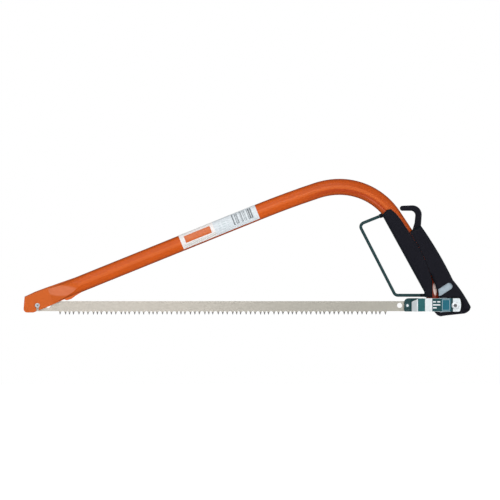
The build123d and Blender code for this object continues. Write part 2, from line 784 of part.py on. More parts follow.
def cut_groove(place, shank_radius, y_low):
    """Cuts the groove for a spring clip in the pin being built."""
    with BuildPart(mode=Mode.PRIVATE) as ring:
        rod(place, shank_radius + CLIP_WIDTH, y_low, y_low + CLIP_THICK)
        rod(place, shank_radius - GROOVE_DEPTH, y_low, y_low + CLIP_THICK, Mode.SUBTRACT)
    add(ring.part, mode=Mode.SUBTRACT)


WASHER_THICK = 0.8
PIVOT_CLIP_Y = HOLDER_OUTER + WASHER_THICK
BLADE_CLIP_Y = CLAMP_OUTER + GAP

with BuildPart() as pivot_pin:
    rod(HOLDER_PIVOT, PIVOT_R, -HOLDER_OUTER, PIVOT_CLIP_Y + CLIP_THICK + PIN_END)
    rod(HOLDER_PIVOT, PIVOT_HEAD_R, -HOLDER_OUTER - PIVOT_HEAD, -HOLDER_OUTER)
    fillet(pivot_pin.edges().group_by(Axis.Y)[0], PIVOT_HEAD - HEAD_RIM)
    # the drilled centre of the head
    rod(HOLDER_PIVOT, PIVOT_DIMPLE_R, -HOLDER_OUTER - PIVOT_HEAD, -HOLDER_OUTER, Mode.SUBTRACT)
    cut_groove(HOLDER_PIVOT, PIVOT_R, PIVOT_CLIP_Y)
finish(pivot_pin, "pivot_pin")

with BuildPart() as pivot_washer:
    rod(HOLDER_PIVOT, PIVOT_HEAD_R, HOLDER_OUTER, PIVOT_CLIP_Y)
    rod(HOLDER_PIVOT, PIVOT_R + GAP, HOLDER_OUTER, PIVOT_CLIP_Y, Mode.SUBTRACT)
finish(pivot_washer, "pivot_washer")

finish(spring_clip(HOLDER_PIVOT, PIVOT_R, PIVOT_CLIP_Y), "pivot_clip")

with BuildPart() as blade_pin:
    rod(REAR_PIN, BLADE_PIN_R, -CLAMP_OUTER, BLADE_CLIP_Y + CLIP_THICK + PIN_END)
    rod(REAR_PIN, BLADE_PIN_HEAD_R, -CLAMP_OUTER - BLADE_PIN_HEAD, -CLAMP_OUTER)
    fillet(blade_pin.edges().group_by(Axis.Y)[0], BLADE_PIN_HEAD - HEAD_RIM)
    cut_groove(REAR_PIN, BLADE_PIN_R, BLADE_CLIP_Y)
finish(blade_pin, "blade_pin")

finish(spring_clip(REAR_PIN, BLADE_PIN_R, BLADE_CLIP_Y), "blade_pin_clip")

# ---------------------------------------------------------------- blade and nose pin

FRONT_END = NOSE_PIN[0] - BLADE_END
REAR_END = REAR_PIN[0] + BLADE_END
BACK_Z = NOSE_PIN[1] + BLADE_BACK
ROOT_Z = NOSE_PIN[1] - BLADE_ROOT
TIP_Z = ROOT_Z - TOOTH_DEPTH

tips = [NOSE_PIN[0] + FIRST_TOOTH]
while tips[-1] + TOOTH_GAPS[(len(tips) - 1) % len(TOOTH_GAPS)] <= REAR_PIN[0] - LAST_TOOTH:
    tips.append(tips[-1] + TOOTH_GAPS[(len(tips) - 1) % len(TOOTH_GAPS)])


def gullet_edges(tip, next_tip):
    """The edges of the round gullet from one tooth tip to the next."""
    half_root = (next_tip - tip) / 2 - TOOTH_ROOT_HALF
    lean = TOOTH_ROOT_HALF / hypot(TOOTH_ROOT_HALF, TOOTH_DEPTH)
    upright = TOOTH_DEPTH / hypot(TOOTH_ROOT_HALF, TOOTH_DEPTH)
    flank_x = TOOTH_ROOT_HALF - half_root * lean
    flank_z = ROOT_Z - half_root * upright
    with BuildLine(mode=Mode.PRIVATE) as edge:
        Line((tip, TIP_Z), (tip + flank_x, flank_z))
        ThreePointArc(
            (tip + flank_x, flank_z),
            ((tip + next_tip) / 2, ROOT_Z),
            (next_tip - flank_x, flank_z),
        )
        Line((next_tip - flank_x, flank_z), (next_tip, TIP_Z))
    return edge.edges()


with BuildPart() as saw_blade:
    with BuildSketch(Plane.XZ):
        with BuildLine() as blade_edge:
            Polyline(
                (tips[0], TIP_Z),
                (tips[0] - TOOTH_ROOT_HALF, ROOT_Z),
                (FRONT_END + 2, ROOT_Z),
                (FRONT_END, ROOT_Z + 2),
                (FRONT_END, NOSE_PIN[1]),
                (FRONT_END + 9, BACK_Z),
                (REAR_END - 2, BACK_Z),
                (REAR_END, BACK_Z - 2),
                (REAR_END, ROOT_Z + 2),
                (REAR_END - 2, ROOT_Z),
                (tips[-1] + TOOTH_ROOT_HALF, ROOT_Z),
                (tips[-1], TIP_Z),
            )
            for tip, next_tip in zip(tips, tips[1:]):
                add(gullet_edges(tip, next_tip))
        make_face()
        with Locations(
            NOSE_PIN,
            (NOSE_PIN[0] + SPARE_HOLE_FRONT, NOSE_PIN[1]),
            (REAR_PIN[0] - SPARE_HOLE_REAR, REAR_PIN[1]),
            REAR_PIN,
        ):
            Circle(BLADE_HOLE_R, mode=Mode.SUBTRACT)
    extrude(amount=BLADE_THICK / 2, both=True)
finish(saw_blade, "saw_blade")

NOSE_COLLAR = 0.6
NOSE_JOURNAL = NOSE_HALF_WIDTH + GAP
NOSE_HEAD = 1.2

with BuildPart() as nose_pin:
    rod(NOSE_PIN, NOSE_PIN_R, -NOSE_JOURNAL, NOSE_JOURNAL)
    rod(NOSE_PIN, BLADE_PIN_R, -NOSE_COLLAR, NOSE_COLLAR)
    for low in (-NOSE_JOURNAL - NOSE_HEAD, NOSE_JOURNAL):
        rod(NOSE_PIN, NOSE_HEAD_R, low, low + NOSE_HEAD)
    outer_face = -NOSE_JOURNAL - NOSE_HEAD
    rod(NOSE_PIN, NOSE_DIMPLE_R, outer_face, outer_face + NOSE_HEAD / 2, Mode.SUBTRACT)
finish(nose_pin, "nose_pin")
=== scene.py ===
"""Looks of the bow saw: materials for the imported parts, a studio floor, soft light and the camera."""

import json
import math

import bpy
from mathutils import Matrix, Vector


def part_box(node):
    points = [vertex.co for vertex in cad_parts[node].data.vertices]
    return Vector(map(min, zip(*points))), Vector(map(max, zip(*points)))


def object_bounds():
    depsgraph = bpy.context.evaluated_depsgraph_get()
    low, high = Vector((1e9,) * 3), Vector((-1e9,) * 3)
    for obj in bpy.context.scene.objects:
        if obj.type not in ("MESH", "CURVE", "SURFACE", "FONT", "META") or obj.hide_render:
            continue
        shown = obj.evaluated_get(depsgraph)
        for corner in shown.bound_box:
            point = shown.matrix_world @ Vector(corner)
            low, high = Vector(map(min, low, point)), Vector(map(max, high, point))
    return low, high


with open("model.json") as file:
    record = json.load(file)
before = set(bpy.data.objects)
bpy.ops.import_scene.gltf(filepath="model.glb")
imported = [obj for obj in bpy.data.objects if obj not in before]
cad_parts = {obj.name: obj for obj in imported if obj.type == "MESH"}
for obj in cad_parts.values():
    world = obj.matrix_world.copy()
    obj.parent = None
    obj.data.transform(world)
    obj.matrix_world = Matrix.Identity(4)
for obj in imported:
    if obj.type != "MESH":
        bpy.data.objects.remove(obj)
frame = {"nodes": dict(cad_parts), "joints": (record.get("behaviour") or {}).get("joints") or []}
cad_low, cad_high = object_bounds()

MM = 0.001
TO_MM = (1 / MM, 1 / MM, 1 / MM)  # a scale from metres to millimetres on every axis


def middle_of(node):
    """The middle of a CAD node's box at rest."""
    low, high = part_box(node)
    return (Vector(low) + Vector(high)) / 2


JOINT_PLACE = {joint["name"]: Vector(joint["pos_m"]) for joint in frame["joints"]}
REAR_PIN = JOINT_PLACE["blade_swing"]
NOSE_PIN = middle_of("nose_pin")

# ---------------------------------------------------------------- shader helpers


class Shader:
    """One node material being built, with short calls for the nodes it uses."""

    def __init__(self, name, soft_edge=0.0):
        self.material = bpy.data.materials.new(name)
        self.material.use_nodes = True
        self.tree = self.material.node_tree
        self.bsdf = self.tree.nodes["Principled BSDF"]
        self.coords = self.tree.nodes.new("ShaderNodeTexCoord").outputs["Object"]
        if soft_edge:
            round_off = self.tree.nodes.new("ShaderNodeBevel")
            round_off.samples = 4
            round_off.inputs["Radius"].default_value = soft_edge
            self.put(self.bsdf.inputs["Normal"], round_off.outputs["Normal"])

    def put(self, socket, value):
        """Sets an input from a number, a colour or another node's output."""
        if isinstance(value, bpy.types.NodeSocket):
            self.tree.links.new(value, socket)
        elif isinstance(value, (tuple, list)) and len(value) == 3 and socket.type == "RGBA":
            socket.default_value = (*value, 1.0)
        else:
            socket.default_value = value

    def set(self, **inputs):
        """Sets inputs of the surface shader, with _ for a blank in an input's name."""
        for name, value in inputs.items():
            self.put(self.bsdf.inputs[name.replace("_", " ")], value)

    def noise(self, scale, detail=4.0, roughness=0.6, stretch=None):
        """Noise over the object's own coordinates; stretch scales each axis."""
        node = self.tree.nodes.new("ShaderNodeTexNoise")
        node.inputs["Scale"].default_value = scale
        node.inputs["Detail"].default_value = detail
        node.inputs["Roughness"].default_value = roughness
        self.put(node.inputs["Vector"], self.mapped(stretch) if stretch else self.coords)
        return node.outputs["Fac"]

    def mapped(self, scale=(1, 1, 1), shift=(0, 0, 0), turn=(0, 0, 0)):
        """The object's coordinates, shifted, then turned, then scaled."""
        moved = self.tree.nodes.new("ShaderNodeMapping")
        moved.vector_type = "POINT"
        moved.inputs["Location"].default_value = shift
        self.put(moved.inputs["Vector"], self.coords)
        node = self.tree.nodes.new("ShaderNodeMapping")
        node.vector_type = "POINT"
        node.inputs["Rotation"].default_value = turn
        self.put(node.inputs["Vector"], moved.outputs["Vector"])
        scaled = self.tree.nodes.new("ShaderNodeVectorMath")
        scaled.operation = "MULTIPLY"
        self.put(scaled.inputs[0], node.outputs["Vector"])
        scaled.inputs[1].default_value = scale
        return scaled.outputs["Vector"]

    def axes(self, vector):
        """The three parts of a vector."""
        node = self.tree.nodes.new("ShaderNodeSeparateXYZ")
        self.put(node.inputs["Vector"], vector)
        return node.outputs["X"], node.outputs["Y"], node.outputs["Z"]

    def from_point(self, point):
        """The distances along the saw and up from a point, in millimetres."""
        x, _, z = self.axes(self.mapped(TO_MM, -point))
        return x, z

    def radius(self, x, z):
        """The distance from the point that x and z are measured from."""
        squares = self.math("ADD", self.math("MULTIPLY", x, x), self.math("MULTIPLY", z, z))
        return self.math("SQRT", squares)

    def math(self, operation, first, second=0.0, third=0.0):
        """One math node."""
        node = self.tree.nodes.new("ShaderNodeMath")
        node.operation = operation
        self.put(node.inputs[0], first)
        self.put(node.inputs[1], second)
        self.put(node.inputs[2], third)
        return node.outputs[0]

    def ramp(self, value, low, high):
        """A smooth step from 0 at low to 1 at high."""
        node = self.tree.nodes.new("ShaderNodeMapRange")
        node.interpolation_type = "SMOOTHSTEP"
        self.put(node.inputs["Value"], value)
        self.put(node.inputs["From Min"], low)
        self.put(node.inputs["From Max"], high)
        return node.outputs["Result"]

    def span(self, value, low, high, soft):
        """1 where value lies between low and high, 0 outside, with soft edges."""
        rise = self.ramp(value, low - soft, low + soft)
        fall = self.ramp(value, high + soft, high - soft)
        return self.math("MULTIPLY", rise, fall)

    def mix(self, factor, first, second):
        """Two colours mixed by a factor."""
        node = self.tree.nodes.new("ShaderNodeMix")
        node.data_type = "RGBA"
        self.put(node.inputs[0], factor)
        self.put(node.inputs[6], first)
        self.put(node.inputs[7], second)
        return node.outputs[2]

    def blend(self, factor, first, second):
        """Two numbers mixed by a factor."""
        node = self.tree.nodes.new("ShaderNodeMix")
        node.data_type = "FLOAT"
        self.put(node.inputs[0], factor)
        self.put(node.inputs[2], first)
        self.put(node.inputs[3], second)
        return node.outputs[0]

    def bump(self, height, distance, strength=1.0):
        """Bumps the surface by a height field; distance is in metres."""
        node = self.tree.nodes.new("ShaderNodeBump")
        node.inputs["Strength"].default_value = strength
        node.inputs["Distance"].default_value = distance
        self.put(node.inputs["Height"], height)
        previous = self.bsdf.inputs["Normal"].links
        if previous:
            self.put(node.inputs["Normal"], previous[0].from_socket)
        self.put(self.bsdf.inputs["Normal"], node.outputs["Normal"])

    def seen_directly(self):
        """1 for what the camera sees itself, 0 in reflections and bounced light."""
        return self.tree.nodes.new("ShaderNodeLightPath").outputs["Is Camera Ray"]

    def facing(self, blend):
        """0 where the surface faces the eye, 1 at its outline."""
        node = self.tree.nodes.new("ShaderNodeLayerWeight")
        node.inputs["Blend"].default_value = blend
        return node.outputs["Facing"]

    def facing_way(self, direction, low, high):
        """1 where the object's surface faces a direction, 0 where it doesn't."""
        dot = self.tree.nodes.new("ShaderNodeVectorMath")
        dot.operation = "DOT_PRODUCT"
        self.put(dot.inputs[0], self.tree.nodes.new("ShaderNodeTexCoord").outputs["Normal"])
        dot.inputs[1].default_value = direction
        return self.ramp(dot.outputs["Value"], low, high)

    def side_on(self, low, high):
        """1 where the object's surface faces square across the saw, on either side."""
        normal = self.tree.nodes.new("ShaderNodeTexCoord").outputs["Normal"]
        return self.ramp(self.math("ABSOLUTE", self.axes(normal)[1]), low, high)

    def within(self, value, low, high, other, other_low, other_high, soft=0.15):
        """1 inside a rectangle in two coordinates, 0 outside."""
        inside = self.span(value, low, high, soft)
        return self.math("MULTIPLY", inside, self.span(other, other_low, other_high, soft))

    def lens(self, value, centre, half, other, other_centre, other_half, power=2.0, soft=0.08):
        """1 inside a round-ended patch, with squarer ends for a higher power."""
        total = 0.0
        for axis, middle, reach in ((value, centre, half), (other, other_centre, other_half)):
            share = self.math("DIVIDE", self.math("SUBTRACT", axis, middle), reach)
            share = self.math("POWER", self.math("ABSOLUTE", share), power)
            total = self.math("ADD", share, total)
        return self.ramp(total, 1 + soft, 1 - soft)

    def cells(self, value, pitch):
        """A random number for each step of pitch along a value."""
        step = self.math("FLOOR", self.math("DIVIDE", value, pitch))
        node = self.tree.nodes.new("ShaderNodeTexWhiteNoise")
        node.noise_dimensions = "1D"
        self.put(node.inputs["W"], step)
        return node.outputs["Value"]

    def comb(self, value, pitch):
        """The place within each step of pitch along a value, from 0 to 1."""
        return self.math("FRACT", self.math("DIVIDE", value, pitch))


# ---------------------------------------------------------------- materials


TUBE_SLOPE = math.radians(22.0)  # of the tube's straight front
REAR_BEND = Vector((-121.0, 0.0, 16.0)) * MM  # centre of the tube's rear bend
REAR_BEND_R = 90.0  # of the tube's centre line there, in millimetres
NOSE_CREST = 18.8  # of the nose's upper edge above the nose pin, square to the tube, in millimetres
CREST_BOW = 0.00075  # how the edge falls away from its highest point
PRESS_SLOPE = math.radians(6.5)  # of the facets that lead into the pressed nose
FACET_MATCH = (0.9962, 0.9988)  # cosines of the angle off a facet's own direction
DEEPER_TONE = (320.0, 440.0)  # where the deeper tone sets in, behind the nose pin, in millimetres
EDGE_DARK_TONE = (0.25, 0.055, 0.022)  # the colour of the painted shade at the enamel's outline, also laid darker along the nose's upper edge
EDGE_BREAK = 0.25 * MM  # the softened corner on plated and turned metal
BRIGHT_ZINC = ((0.74, 0.80, 0.86), (0.92, 0.94, 0.95))  # from dull to bright


def facet_highlight(s):
    """1 where a painted highlight lies on the facets that lead into the pressed nose."""
    away = -math.sin(PRESS_SLOPE)
    facets = 0.0
    for side in (1, -1):
        normal = Vector((
            away * math.cos(TUBE_SLOPE),
            -side * math.cos(PRESS_SLOPE),
            away * math.sin(TUBE_SLOPE),
        ))
        facets = s.math("ADD", s.facing_way(normal, *FACET_MATCH), facets)
    x, z = s.from_point(NOSE_PIN)
    highlit_patch = s.lens(x, 34.0, 22.0, z, 20.5, 7.0, 2.0, 0.45)
    return s.math("MULTIPLY", s.math("MULTIPLY", facets, highlit_patch), 0.8)


def nose_edge(s):
    """1 along the pressed nose's upper edge, where the enamel is drawn darker."""
    along, _, up = s.axes(s.mapped(TO_MM, -NOSE_PIN, (0, TUBE_SLOPE, 0)))
    from_crest = s.math("POWER", s.math("ABSOLUTE", s.math("SUBTRACT", along, 8.0)), 2.0)
    depth = s.math("SUBTRACT", NOSE_CREST, s.math("MULTIPLY_ADD", from_crest, CREST_BOW, up))
    return s.math("MULTIPLY", s.ramp(depth, 1.9, 0.4), s.ramp(along, 66.0, 60.0))


def strip_highlight(s):
    """1 on a painted highlight low on the strip of tube by the lever's edge."""
    x, z = s.from_point(JOINT_PLACE["lever_open"])
    lean = s.math("MULTIPLY_ADD", z, 0.10, x)
    wobble = s.math("MULTIPLY_ADD", s.noise(400, 3), 1.6, lean)
    return s.lens(wobble, -5.4, 2.4, z, 27.0, 8.0, 2.0, 0.5)


def bend_reflection(s):
    """The painted reflection on the rear bend: a darker band low down and a paler gleam line below it,
    as a pair of factors.
    """
    x, z = s.from_point(REAR_BEND)
    height = s.math("SUBTRACT", s.radius(x, z), REAR_BEND_R)
    height = s.math("MULTIPLY_ADD", s.noise(60, 2), 0.8, height)
    outer = s.ramp(z, 12.0, 45.0)
    dark = s.math("MULTIPLY", s.span(height, -7.0, -2.6, 1.0), outer)
    dark = s.math("MULTIPLY", dark, s.ramp(x, -60.0, -10.0))
    pale = s.math("MULTIPLY", s.span(height, -6.3, -5.0, 0.9), s.ramp(x, 18.0, 50.0))
    return dark, s.math("MULTIPLY", pale, outer)


def shade_between_mouldings(s):
    """1 on the strip of tube between the two mouldings, which is painted in shade."""
    x, z = s.from_point(JOINT_PLACE["lever_open"])
    patch = s.lens(x, -8.0, 16.0, z, 30.0, 30.0, 4.0, 0.3)
    return s.math("MULTIPLY", patch, s.blend(s.noise(120, 4), 0.6, 1.0))


def enamel():
    """Orange stove enamel: deeper to the rear, with painted shade at the outline and darker along the
    nose's edge.

    It has a painted sheen where it faces square across the saw, a painted highlight on the pressed
    facets, a painted dark and pale reflection on the rear bend, fine scratches, and painted shade with a
    painted highlight between the mouldings.
    """
    s = Shader("frame_enamel", soft_edge=0.4 * MM)
    tone = s.noise(38, 3)
    colour = s.mix(tone, (0.59, 0.086, 0.0040), (0.67, 0.106, 0.007))
    deeper = s.mix(tone, (0.49, 0.068, 0.0040), (0.56, 0.086, 0.007))
    x, z = s.from_point(NOSE_PIN)
    colour = s.mix(s.ramp(x, *DEEPER_TONE), colour, deeper)
    cheek = s.math("MULTIPLY", s.ramp(x, 62.0, 25.0), 0.7)
    colour = s.mix(cheek, colour, (0.52, 0.094, 0.006))
    pale = s.mix(s.noise(300, 3, 0.6, (0.3, 1, 1)), (0.70, 0.170, 0.066), (0.80, 0.240, 0.112))
    # painted sheen: paler where the tube faces square across the saw, standing in for a highlight along
    # its side
    colour = s.mix(s.math("MULTIPLY", s.side_on(0.984, 0.9995), 0.45), colour, (0.78, 0.170, 0.038))
    dark, light = bend_reflection(s)
    # painted reflection on the rear bend: a dark band and a pale gleam below it
    colour = s.mix(s.math("MULTIPLY", dark, 0.6), colour, (0.42, 0.040, 0.006))
    colour = s.mix(s.math("MULTIPLY", light, 0.6), colour, (0.70, 0.190, 0.100))
    # painted highlight on the facets that lead into the pressed nose
    colour = s.mix(facet_highlight(s), colour, pale)
    # painted shade: darker towards the outline, where the surface turns away from the eye
    rim = s.ramp(s.facing(0.5), 0.06, 0.65)
    colour = s.mix(s.math("MULTIPLY", rim, 0.85), colour, EDGE_DARK_TONE)
    # darker along the pressed nose's upper edge
    colour = s.mix(s.math("MULTIPLY", nose_edge(s), 0.75), colour, EDGE_DARK_TONE)
    scratch = s.ramp(s.noise(160, 6, 0.7, (0.12, 1, 1)), 0.68, 0.76)
    colour = s.mix(s.math("MULTIPLY", scratch, 0.18), colour, (0.75, 0.28, 0.12))
    # painted shade on the strip of tube deep between the two mouldings
    colour = s.mix(shade_between_mouldings(s), colour, (0.17, 0.014, 0.008))
    # painted highlight on the tube's lower end between the mouldings
    colour = s.mix(strip_highlight(s), colour, (0.95, 0.74, 0.68))
    s.set(
        Base_Color=colour,
        Roughness=s.blend(tone, 0.42, 0.48),
        Coat_Weight=s.blend(rim, 0.14, 0.0),
        Coat_Roughness=0.2,
        Specular_IOR_Level=s.blend(rim, 0.10, 0.0),
    )
    s.bump(s.noise(240, 2), 0.00001, 0.3)
    s.bump(scratch, 0.00001, 0.3)
    return s.material


def black_plastic():
    """Black moulded plastic with a fine spark-eroded grain and a painted cool sheen along its outline.
    """
    s = Shader("grip_plastic")
    patch = s.noise(45, 3)
    rim = s.ramp(s.facing(0.5), 0.10, 0.60)
    colour = s.mix(patch, (0.0045, 0.0045, 0.0090), (0.0070, 0.0070, 0.0125))
    # painted sheen: a cooler tint towards the outline
    colour = s.mix(rim, colour, (0.003, 0.015, 0.018))
    s.set(
        Base_Color=colour,
        Roughness=s.blend(patch, 0.42, 0.52),
        Specular_IOR_Level=0.10,
    )
    s.bump(s.noise(2600, 2, 0.5), 0.00005, 0.3)
    s.bump(s.noise(260, 3), 0.00006, 0.25)
    return s.material


def guard_coating():
    """Dark green-blue satin coating on the guard's rod."""
    s = Shader("guard_coating")
    patch = s.noise(120, 4)
    s.set(
        Base_Color=s.mix(patch, (0.003, 0.031, 0.035), (0.007, 0.048, 0.052)),
        Roughness=s.blend(patch, 0.32, 0.5),
        Specular_IOR_Level=0.3,
    )
    s.bump(s.noise(700, 3), 0.00005, 0.3)
    return s.material


def plating(name, dark, light, metallic=0.85):
    """Zinc plating with fine rolling lines and smudges, and its shader for more layers."""
    s = Shader(name, soft_edge=EDGE_BREAK)
    smudge = s.noise(90, 5, 0.65)
    colour = s.mix(smudge, dark, light)
    s.set(
        Base_Color=colour,
        Metallic=metallic,
        Roughness=s.blend(smudge, 0.28, 0.46),
    )
    s.bump(s.noise(120, 3, 0.6, (0.05, 1, 12)), 0.00002, 0.4)
    s.bump(s.noise(300, 3), 0.00003, 0.3)
    return s, colour


def bright_plating():
    """Bright plating: painted shade in the drilled centres of the pins' heads, and the nose pin drawn
    darker.
    """
    s, plated = plating("plated_steel", *BRIGHT_ZINC)
    # painted shade in the drilled centres of the pins' heads
    darkening = 0.0
    for point, reach in ((NOSE_PIN, 1.2), (JOINT_PLACE["holder_turn"], 2.4)):
        x, z = s.from_point(point)
        centre = s.lens(x, 0.2, reach, z, -0.1, reach, 2.0, 0.35)
        darkening = s.math("ADD", centre, darkening)
    darkening = s.math("MULTIPLY", darkening, s.blend(s.noise(700, 3), 0.5, 1.0))
    x, z = s.from_point(NOSE_PIN)
    # the nose pin's end drawn darker
    pin_darkening = s.math("MULTIPLY", s.lens(x, 0.0, 3.6, z, 0.0, 3.6), 0.35)
    darkening = s.math("MAXIMUM", darkening, pin_darkening)
    s.set(
        Base_Color=s.mix(darkening, plated, (0.035, 0.03, 0.03)),
        Metallic=s.blend(darkening, 0.85, 0.1),
    )
    return s.material


def grey_plating():
    """Duller blue-grey plating on the lever's plates."""
    return plating("plated_plate", (0.33, 0.42, 0.49), (0.44, 0.53, 0.60), 0.35)[0].material


def teal_pin_with_highlight():
    """The blade pin: dark teal like the holder's front, with a painted highlight in the middle of its
    head.
    """
    s, plated = plating("pin_teal_highlight", *BRIGHT_ZINC, 0.3)
    x, z = s.from_point(REAR_PIN)
    wobble = s.math("MULTIPLY", s.noise(500, 3), 0.8)
    # painted highlight: the middle of the head is left bright plated, the rest dark teal
    teal_mask = s.ramp(s.math("ADD", s.radius(x, z), wobble), 1.8, 2.5)
    teal = s.mix(s.noise(150, 3), (0.003, 0.048, 0.054), (0.006, 0.070, 0.080))
    s.set(Base_Color=s.mix(teal_mask, plated, teal), Metallic=s.blend(teal_mask, 0.3, 0.0))
    return s.material


# Zones of the holder's dark teal and its painted shadow line along the saw, from the rear blade pin, in
# millimetres
HOLDER_TEAL_END = 5.9
HOLDER_TEAL_STEP = 8.6  # how much further the dark teal reaches along the upper edge
HOLDER_BAND = (59.6, 63.4)


def holder_plating():
    """Bright plating on the blade holder, dark teal at its front, with a painted shadow line by the
    pivot.
    """
    s, plated = plating("holder_steel", (0.70, 0.78, 0.82), (0.90, 0.94, 0.96), 0.3)
    x, z = s.from_point(REAR_PIN)
    lift = s.ramp(z, 3.4, 9.8)
    teal_end = s.math("MULTIPLY_ADD", s.math("POWER", lift, 1.6), HOLDER_TEAL_STEP, HOLDER_TEAL_END)
    teal_mask = s.ramp(s.math("SUBTRACT", x, teal_end), 0.25, -0.25)
    # painted shadow line by the pivot, in the same dark teal
    band = s.span(x, *HOLDER_BAND, 0.3)
    teal_mask = s.math("MAXIMUM", teal_mask, band)
    chips = s.ramp(s.noise(900, 4, 0.7), 0.66, 0.70)
    teal_mask = s.math("MULTIPLY", teal_mask, s.math("SUBTRACT", 1.0, s.math("MULTIPLY", chips, 0.6)))
    teal = s.mix(s.noise(150, 3), (0.002, 0.036, 0.040), (0.004, 0.058, 0.066))
    s.set(
        Base_Color=s.mix(teal_mask, plated, teal),
        Metallic=s.blend(teal_mask, 0.3, 0.0),
        Specular_IOR_Level=0.4,
    )
    return s.material


def turned_metal(name, dark, light, smudge_scale, roughness):
    """Bare turned metal with smudges and a fine grain."""
    s = Shader(name, soft_edge=EDGE_BREAK)
    smudge = s.noise(smudge_scale, 4)
    s.set(
        Base_Color=s.mix(smudge, dark, light),
        Metallic=1.0,
        Roughness=s.blend(smudge, *roughness),
    )
    s.bump(s.noise(900, 2), 0.00002, 0.3)
    return s.material


def plain_steel():
    """Turned steel for the screws, the clips, the lug and the pins inside the handle."""
    return turned_metal("steel", (0.42, 0.42, 0.43), (0.56, 0.56, 0.57), 140, (0.25, 0.45))


def brass():
    """Machined brass for the bush."""
    return turned_metal("brass", (0.60, 0.38, 0.14), (0.74, 0.52, 0.22), 200, (0.22, 0.4))


ROOT_DEPTH = 8.0  # of the tooth roots, below the pin line, in millimetres


def blade_steel():
    """Ground blade steel, mottled, with tooth tips darkened by impulse hardening."""
    s = Shader("blade_steel")
    x, z = s.from_point(REAR_PIN)
    mottle = s.noise(260, 6, 0.7)
    cloud = s.noise(30, 4)
    colour = s.mix(mottle, (0.52, 0.475, 0.41), (0.75, 0.70, 0.62))
    colour = s.mix(s.math("MULTIPLY", cloud, 0.5), colour, (0.50, 0.48, 0.44))
    # darker towards the rear end of the blade
    rear_darkening = s.math("MULTIPLY", s.ramp(x, -420.0, -60.0), 0.64)
    colour = s.mix(rear_darkening, colour, (0.34, 0.335, 0.29))
    wobble = s.math("MULTIPLY", s.math("SUBTRACT", s.noise(900, 2), 0.5), 2.0)
    tint = s.ramp(s.math("ADD", z, wobble), -ROOT_DEPTH - 0.6, -ROOT_DEPTH - 2.8)
    colour = s.mix(tint, colour, (0.06, 0.06, 0.075))
    s.set(
        Base_Color=colour,
        Metallic=s.blend(tint, 0.35, 0.5),
        Roughness=s.blend(mottle, 0.42, 0.6),
    )
    s.bump(s.noise(200, 4, 0.6, (0.04, 1, 8)), 0.00003, 0.5)
    s.bump(mottle, 0.00003, 0.3)
    return s.material


# Zones of the frame label's print, from its middle in millimetres: from and to along the tube,
# then from and to across it
PANEL = (-51.0, -12.0, -3.4, 6.6)
HATCHING = (-54.0, -7.0, -8.8, -5.0)
RULES = (-3.0, 15.0, -5.5, 5.0)
BAR_GROUPS = ((20.5, 29.5, -5.6, 9.0), (32.0, 40.5, -5.6, 9.0), (43.0, 50.5, -5.6, 9.0))


def frame_film():
    """Printed film on the tube: a plain panel, hatching, faint rules and a block of bars."""
    s = Shader("label_film")
    along, _, up = s.axes(s.mapped(TO_MM, -middle_of("frame_label"), (0, TUBE_SLOPE, 0)))

    def zone(first, last, bottom, top):
        return s.within(along, first, last, up, bottom, top)

    paper = s.mix(s.noise(60, 3), (0.84, 0.81, 0.80), (0.92, 0.89, 0.88))
    cool = s.mix(s.noise(80, 3), (0.67, 0.73, 0.78), (0.78, 0.83, 0.86))
    colour = s.mix(s.ramp(along, -8.0, -6.0), paper, cool)
    orange = s.mix(s.noise(200, 3), (0.62, 0.12, 0.02), (0.70, 0.17, 0.04))
    panel = zone(*PANEL)
    colour = s.mix(panel, colour, orange)
    slant = s.math("ADD", along, up)
    hatch = s.span(s.comb(slant, 3.0), 0.1, 0.5, 0.08)
    hatch = s.math("MULTIPLY", hatch, zone(*HATCHING))
    colour = s.mix(s.math("MULTIPLY", hatch, 0.6), colour, (0.34, 0.38, 0.30))
    rules = s.span(s.comb(up, 3.4), 0.30, 0.55, 0.08)
    rules = s.math("MULTIPLY", rules, zone(*RULES))
    rules = s.math("MULTIPLY", rules, s.ramp(s.cells(along, 2.6), 0.2, 0.3))
    colour = s.mix(s.math("MULTIPLY", rules, 0.5), colour, (0.34, 0.50, 0.48))
    bars = s.ramp(s.cells(along, 0.6), 0.30, 0.32)
    bars = s.math("MULTIPLY", bars, s.span(s.comb(along, 3.0), 0.0, 0.72, 0.05))
    groups = 0.0
    for group in BAR_GROUPS:
        groups = s.math("MAXIMUM", zone(*group), groups)
    bars = s.math("MULTIPLY", bars, groups)
    colour = s.mix(s.math("MULTIPLY", bars, 0.82), colour, (0.06, 0.075, 0.085))
    s.set(
        Base_Color=colour,
        Roughness=s.blend(s.noise(120, 3), 0.30, 0.42),
        Coat_Weight=0.15,
        Coat_Roughness=0.2,
        Specular_IOR_Level=0.3,
    )
    s.bump(s.noise(500, 2), 0.00002, 0.3)
    s.bump(s.math("MAXIMUM", panel, bars), 0.00001, 0.3)
    return s.material


